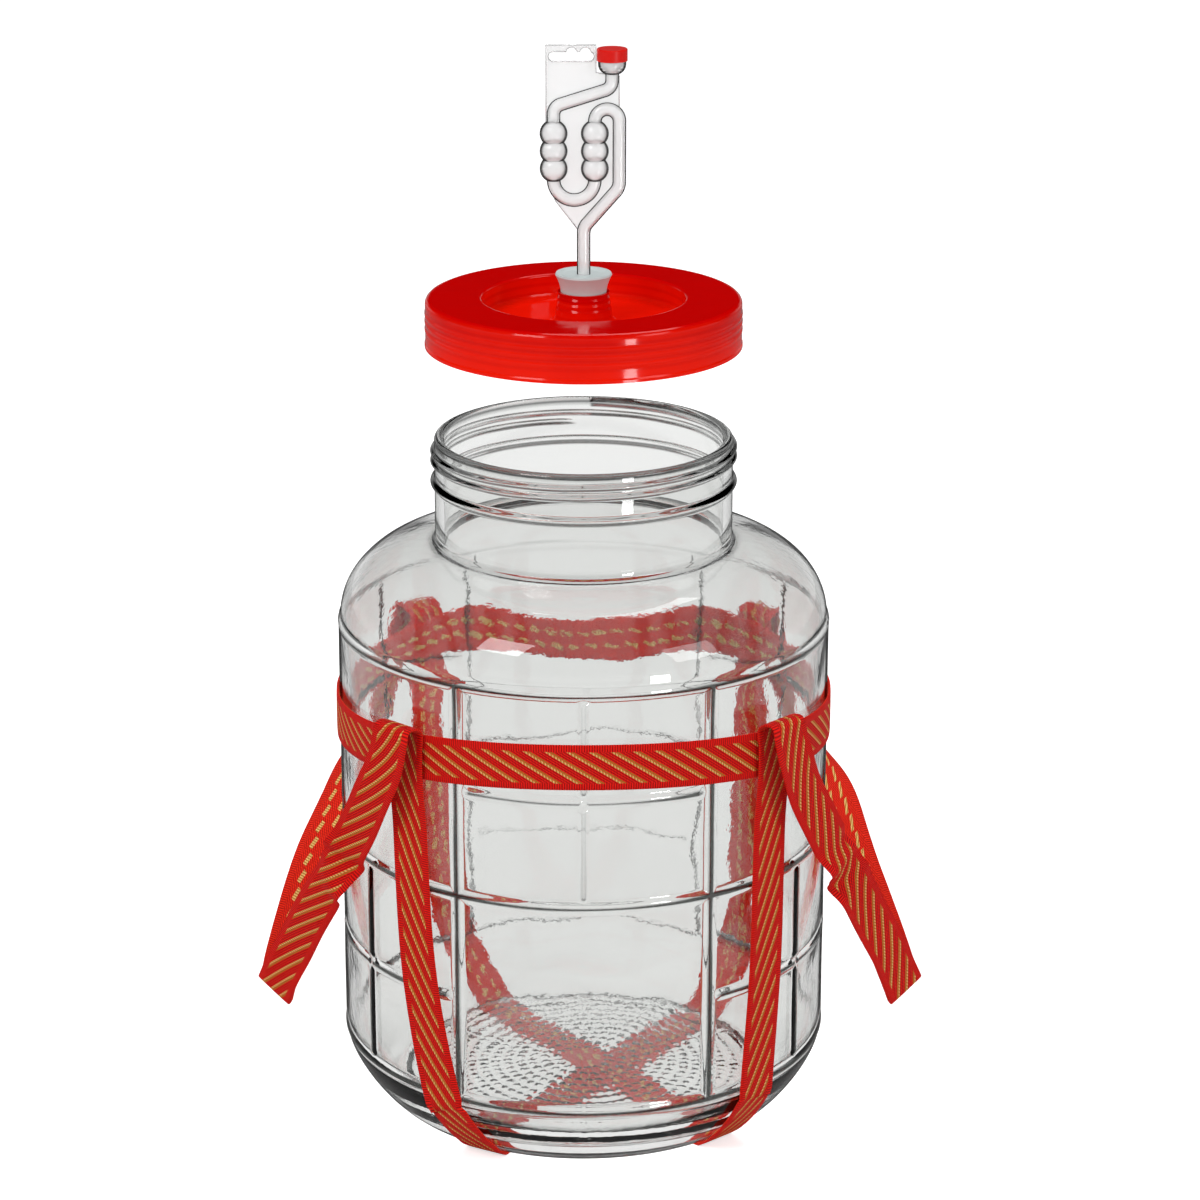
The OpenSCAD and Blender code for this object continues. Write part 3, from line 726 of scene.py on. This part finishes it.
def cradle_route(front_joint, front_foot, rear_joint, rear_foot, hump):
    way = strap_way()
    a, b = around(front_foot, FOOT_R - 9, STRAP_T / 2), around(rear_foot, FOOT_R - 9, STRAP_T / 2)
    under = [lerp(a, b, i / 8) + np.array([0, 0, hump * float(ease((3 - abs(i - 4)) / 2))]) for i in range(9)]
    ahead = unit(b - a)
    level = np.cross(b - a, [0, 0, 1])
    level = unit(level - ahead * np.dot(level, ahead))
    front = [lerp(front_joint, front_foot, min(1, w[2] / SETTLED) ** 3) for w in way]
    rear = [lerp(rear_joint, rear_foot, min(1, w[2] / SETTLED) ** 3) for w in way[::-1]]
    points = [around(f, w[0], w[1]) for f, w in zip(front, way)] + under
    points += [around(q, w[0], w[1]) for q, w in zip(rear, way[::-1])]
    wide = [sideways(f) for f in front] + [level] * 9 + [-sideways(q) for q in rear]
    return points, wide


def bezier(p, t):
    p = [np.asarray(q, float) for q in p]
    while len(p) > 1:
        p = [lerp(p[i], p[i + 1], t) for i in range(len(p) - 1)]
    return p[0]


def handle_route(side, joint):
    fold = []
    for i in range(4):
        t = math.radians(90 + 30 * i)
        fold.append((FOLD_CENTRE - FOLD_R * math.cos(t), PIVOT_Z + FOLD_R * math.sin(t)))
    out = side * FOLD_CENTRE * math.sin(math.radians(joint))
    end = np.array([out + side * 74.0, -20.0, PIVOT_Z - 184.0])
    front_top = around(side * joint, *fold[3])
    rear_top = around(side * (180 - joint), *fold[3])
    front_wide = -side * sideways(side * joint)
    rear_wide = -side * sideways(side * (180 - joint))
    end_way = unit([side * 0.34, 0.3, -0.89])
    raw = np.array([side * -0.77, -0.6, -0.2])
    end_wide = unit(raw - end_way * np.dot(raw, end_way))
    face = side * np.cross(end_wide, end_way)
    near, far = end + face * 1.0, end - face * 1.0
    front_way = [front_top, front_top + np.array([side * 6, 2, -45]), near - end_way * 75, near]
    low_bow, high_bow = (8, 26) if side < 0 else (2, 22)
    rear_way = [far, far - end_way * 60 + np.array([side * low_bow, 4, 0]),
                rear_top + np.array([side * high_bow, -30, -66]), rear_top]
    steps = 12
    points = [around(side * joint, *f) for f in fold]
    points += [bezier(front_way, i / steps) for i in range(1, steps + 1)]
    points += [end + face * math.cos(math.radians(t)) + end_way * math.sin(math.radians(t)) for t in (45, 90, 135)]
    points += [bezier(rear_way, i / steps) for i in range(steps)]
    points += [around(side * (180 - joint), *fold[i]) for i in (3, 2, 1, 0)]
    wide = [front_wide] * 4
    wide += [lerp(front_wide, end_wide, float(ease(i / steps))) for i in range(1, steps + 1)]
    wide += [end_wide] * 3
    for i in range(steps):
        q = bezier(rear_way, i / steps)
        turned = -side * sideways(math.degrees(math.atan2(q[0], -q[1])))
        wide.append(lerp(end_wide, turned, float(ease((i / steps - 0.35) / 0.55))))
    wide += [rear_wide] * 4
    return points, wide


def fold_loop(side, joint, rear):
    """The puffed loop where a strap turns over the belt into its handle."""
    at = side * (180 - joint if rear else joint)
    inner = STRAP_IN + STRAP_T / 2
    points = [around(at, inner, JOINT_Z - 6), around(at, inner, JOINT_Z)]
    reach = FOLD_CENTRE - inner
    for t in (35, 65, 90):
        a = math.radians(t)
        points.append(around(at, FOLD_CENTRE - reach * math.cos(a), JOINT_Z + (PIVOT_Z + FOLD_R - JOINT_Z) * math.sin(a)))
    return points, [-side * (-1 if rear else 1) * sideways(at)] * len(points)


def strap_curl(along, length):
    """The straps' edges stand off the glass a little, more near the joints."""
    near = np.exp(-(np.minimum(along, length - along) / 40) ** 2)
    lift = 0.25 + 0.25 * np.sin(along / 17) + 0.5 * near
    above_foot = ease((np.abs(along - length / 2) - 135) / 25)
    lift = -lift * above_foot * np.clip(np.minimum(along, length - along) / 8, 0, 1)
    return lift, np.zeros_like(along), np.zeros_like(along)


def handle_curl(along, length):
    """A handle's legs curl and crease, apart from its folds at the joints and its end."""
    middle = length / 2
    free = ease((np.minimum(along, length - along) - 12) / 30) * ease((np.abs(along - middle) - 14) / 30)
    lift = 1.3 * np.sin(along / 21 + 0.8) + 0.6 * np.sin(along / 9.3)
    crease = np.exp(-((along - 0.225 * length) / 5) ** 2) - 0.7 * np.exp(-((along - 0.262 * length) / 6) ** 2)
    shift = 0.9 * np.sin(along / 16 + 2) + 3.0 * crease
    tilt = 4.4 * (np.exp(-((along - 0.215 * length) / 7) ** 2) - np.exp(-((along - 0.262 * length) / 7) ** 2))
    return lift * free, shift * free, tilt * free


def build_harness():
    belt_weave = webbing_material("woven_belt", -32, -2.4)
    tape_front = webbing_material("woven_tape", -25, -2.4)
    tape_mirror = webbing_material("woven_tape_mirror", 25, 2.4)
    pieces = {}
    angles = [360 * i / 72 - JOINT_LEFT for i in range(72)]
    belt, length = tape("belt_tape", [around(a, BELT_IN + STRAP_T / 2, float(belt_height(a))) for a in angles],
                        [np.array([0, 0, 1.0])] * 72, closed=True)
    belt.data.materials.append(belt_weave)
    pieces["belt"] = (belt, length, "jar", "belt")
    routes = {
        "cradle_strap_a": cradle_route(-JOINT_LEFT, -FOOT_LEFT, 180 - JOINT_RIGHT, 180 - FOOT_RIGHT, 0),
        "cradle_strap_b": cradle_route(JOINT_RIGHT, FOOT_RIGHT, 180 + JOINT_LEFT, 180 + FOOT_LEFT, STRAP_T + SKIN),
    }
    for name, (points, wide) in routes.items():
        piece, length = tape(name + "_tape", points, wide, curl=strap_curl)
        piece.data.materials.append(tape_mirror if name.endswith("a") else tape_front)
        pieces[name] = (piece, length, "jar", name)
    for name, side, joint in (("handle_left", -1, JOINT_LEFT), ("handle_right", 1, JOINT_RIGHT)):
        points, wide = handle_route(side, joint)
        piece, length = tape(name + "_tape", points, wide, face_sign=side, curl=handle_curl)
        piece.data.materials.append(tape_front if side < 0 else tape_mirror)
        pieces[name] = (piece, length, name, name)
    for name, (piece, length, body, cad_node) in pieces.items():
        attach(piece, body)
        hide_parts(cad_node)
    for name, side, joint in (("handle_left", -1, JOINT_LEFT), ("handle_right", 1, JOINT_RIGHT)):
        for rear in (False, True):
            points, wide = fold_loop(side, joint, rear)
            loop, _ = tape(name + ("_loop_back" if rear else "_loop_front"), points, wide,
                           face_sign=-side if rear else side)
            loop.data.materials.append(tape_front if side < 0 else tape_mirror)
            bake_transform(loop)
    return pieces


# Studio

def build_studio():
    camera = bpy.data.cameras.new("camera")
    camera.lens = 115.58
    camera.sensor_width = 36
    camera.shift_x = 0.01365
    camera.clip_end = 50
    camera_obj = bpy.data.objects.new("camera", camera)
    bpy.context.scene.collection.objects.link(camera_obj)
    camera_obj.location = (0, -2.0, 0.9408)
    camera_obj.rotation_euler = (math.radians(90 - 18.13), 0, 0)
    bpy.context.scene.camera = camera_obj

    world = bpy.data.worlds.new("studio")
    bpy.context.scene.world = world
    world.use_nodes = True
    tree = world.node_tree
    tree.nodes.clear()
    n, l = tree.nodes, tree.links
    path = node(n, "LightPath")
    seen = maths(n, l, "MAXIMUM", path.outputs["Is Camera Ray"], path.outputs["Is Transmission Ray"])
    place = node(n, "TexCoord")
    parts = node(n, "SeparateXYZ")
    l.new(place.outputs["Generated"], parts.inputs[0])
    ceiling = span(n, l, parts.outputs["Z"], 0.02, 0.20, 0.5, 0.0)
    glossy = maths(n, l, "MULTIPLY", path.outputs["Is Glossy Ray"], ceiling)
    spread = maths(n, l, "MULTIPLY", path.outputs["Is Diffuse Ray"], 0.55)
    strength = maths(n, l, "MAXIMUM", maths(n, l, "MAXIMUM", seen, glossy), spread)
    back = node(n, "Background")
    back.inputs["Color"].default_value = (1, 1, 1, 1)
    l.new(strength, back.inputs["Strength"])
    out = node(n, "OutputWorld")
    l.new(back.outputs[0], out.inputs["Surface"])

    for name, place, size, power, aim in (
            ("key_light", (-1.5, -1.6, 2.2), (1.0, 1.0), 26, (0, 0, 0.3)),
            ("fill_light", (1.9, -1.4, 1.5), (1.0, 1.0), 13, (0, 0, 0.3)),
            ("top_light", (0.2, 0.9, 2.6), (1.2, 1.2), 16, (0, 0, 0.3)),
            ("lid_card", (0.58, -0.91, 0.19), (0.16, 0.26), 2.6, (0, 0, 0.43))):
        lamp = bpy.data.lights.new(name, "AREA")
        lamp.shape = "RECTANGLE"
        lamp.size, lamp.size_y = size
        lamp.energy = power
        obj = bpy.data.objects.new(name, lamp)
        bpy.context.scene.collection.objects.link(obj)
        obj.location = place
        to = np.array(aim) - np.array(place)
        flat = math.hypot(to[0], to[1])
        obj.rotation_euler = (math.atan2(flat, -to[2]), 0, math.atan2(to[1], to[0]) - math.pi / 2)
        obj.visible_camera = False
        obj.visible_transmission = False
        obj.visible_diffuse = name != "lid_card"

    bpy.ops.mesh.primitive_plane_add(size=12, location=(0, 0, 0))
    floor = bpy.context.object
    floor.name = "floor"
    material, n, l = new_material("studio_floor")
    rough = node(n, "BsdfDiffuse")
    glow = node(n, "Emission")
    path = node(n, "LightPath")
    # Through the glass the floor is mostly its own white, so that the glass keeps its tint
    through = path.outputs["Is Transmission Ray"]
    dimmed = maths(n, l, "MAXIMUM", through, path.outputs["Is Glossy Ray"])
    l.new(blend_colour(n, l, dimmed, (0.8, 0.8, 0.8, 1), (0.25, 0.25, 0.25, 1)), rough.inputs["Color"])
    seen = maths(n, l, "MULTIPLY_ADD", path.outputs["Is Camera Ray"], 0.62, maths(n, l, "MULTIPLY", through, 0.80))
    l.new(seen, glow.inputs["Strength"])
    both = node(n, "AddShader")
    l.new(rough.outputs[0], both.inputs[0])
    l.new(glow.outputs[0], both.inputs[1])
    out = node(n, "OutputMaterial")
    l.new(both.outputs[0], out.inputs["Surface"])
    floor.data.materials.append(material)

    view = bpy.context.scene.view_settings
    view.view_transform = "Standard"


def tube(path, radius, up, sides=6):
    """Points and faces of a closed tube along a path, given in millimetres."""
    path = np.asarray(path, float)
    way = unit(np.gradient(path, axis=0))
    side = unit(np.cross(way, up))
    top = np.cross(side, way)
    turn = np.linspace(0, 2 * math.pi, sides, endpoint=False)
    ring = side[:, None] * np.cos(turn)[None, :, None] + top[:, None] * np.sin(turn)[None, :, None]
    points = (path[:, None] + radius * ring).reshape(-1, 3)
    quads = revolve_quads(len(path), sides)
    ends = [[0, k + 1, k] for k in range(1, sides - 1)]
    base = (len(path) - 1) * sides
    ends += [[base, base + k, base + k + 1] for k in range(1, sides - 1)]
    return points, quads, np.array(ends)


def joined(name, parts):
    """One object from several sets of points, quads and triangles."""
    points, quads, tris, first = [], [], [], 0
    for p, q, t in parts:
        points.append(p)
        quads.append(q + first)
        tris.append(t + first)
        first += len(p)
    return mesh_from(name, np.concatenate(points), np.concatenate(quads), np.concatenate(tris))


def chains(pairs):
    """Runs of points that pairs of neighbours make up, each run as a list."""
    beside = {}
    for a, b in pairs:
        beside.setdefault(a, []).append(b)
        beside.setdefault(b, []).append(a)
    left = {tuple(sorted(pair)) for pair in pairs}
    starts = sorted(beside, key=lambda k: (len(beside[k]) == 2, k))
    runs = []
    for start in starts:
        for step in beside[start]:
            if tuple(sorted((start, step))) not in left:
                continue
            run = [start]
            while True:
                left.discard(tuple(sorted((run[-1], step))))
                run.append(step)
                onward = [k for k in beside[step] if tuple(sorted((step, k))) in left]
                if len(beside[step]) != 2 or not onward:
                    break
                step = onward[0]
            runs.append(run)
    return runs


def build_web_lines(material):
    """The fine moulded bead round the airlock's flat web."""
    mesh = bmesh.new()
    mesh.from_mesh(nodes["airlock"].data)
    bmesh.ops.remove_doubles(mesh, verts=mesh.verts, dist=1e-6)
    face_y = 0.6 * MM
    parts = []
    for sign in (-1, 1):
        pairs = []
        for edge in mesh.edges:
            if len(edge.link_faces) != 2 or not edge.is_convex:
                continue
            if any(abs(v.co.y - sign * face_y) > 2e-5 for v in edge.verts):
                continue
            flat = sorted(abs(f.normal.y) for f in edge.link_faces)
            if flat[1] > 0.99 and flat[0] < 0.1:
                pairs.append((edge.verts[0].index, edge.verts[1].index))
        mesh.verts.ensure_lookup_table()
        for run in chains(pairs):
            path = np.array([mesh.verts[i].co for i in run]) / MM
            if np.sum(np.linalg.norm(np.diff(path, axis=0), axis=1)) > 1.5:
                parts.append(tube(path, 0.24, (0, 1, 0)))
    mesh.free()
    piece = joined("airlock_web_bead", parts)
    piece.data.materials.append(material)
    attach(piece, "airlock")


def dress(name, material):
    obj = nodes[name]
    obj.data.materials.clear()
    obj.data.materials.append(material)


build_studio()
build_jar()
build_harness()
dress("lid", lid_material())
dress("seal_ring", plain_material("seal_rubber", (0.80, 0.79, 0.74, 1), (0.86, 0.85, 0.81, 1), 0.5, 60, 0.05))
dress("bung", plain_material("bung_rubber", (0.54, 0.60, 0.60, 1), (0.60, 0.66, 0.66, 1), 0.45, 90, 0.06))
clear_plastic = clear_plastic_material()
dress("airlock", clear_plastic)
build_web_lines(clear_plastic)
dress("airlock_cap", plain_material("cap_plastic", (0.72, 0.004, 0.002, 1), (0.8, 0.01, 0.004, 1), 0.3, 120, 0.04, 0.2))
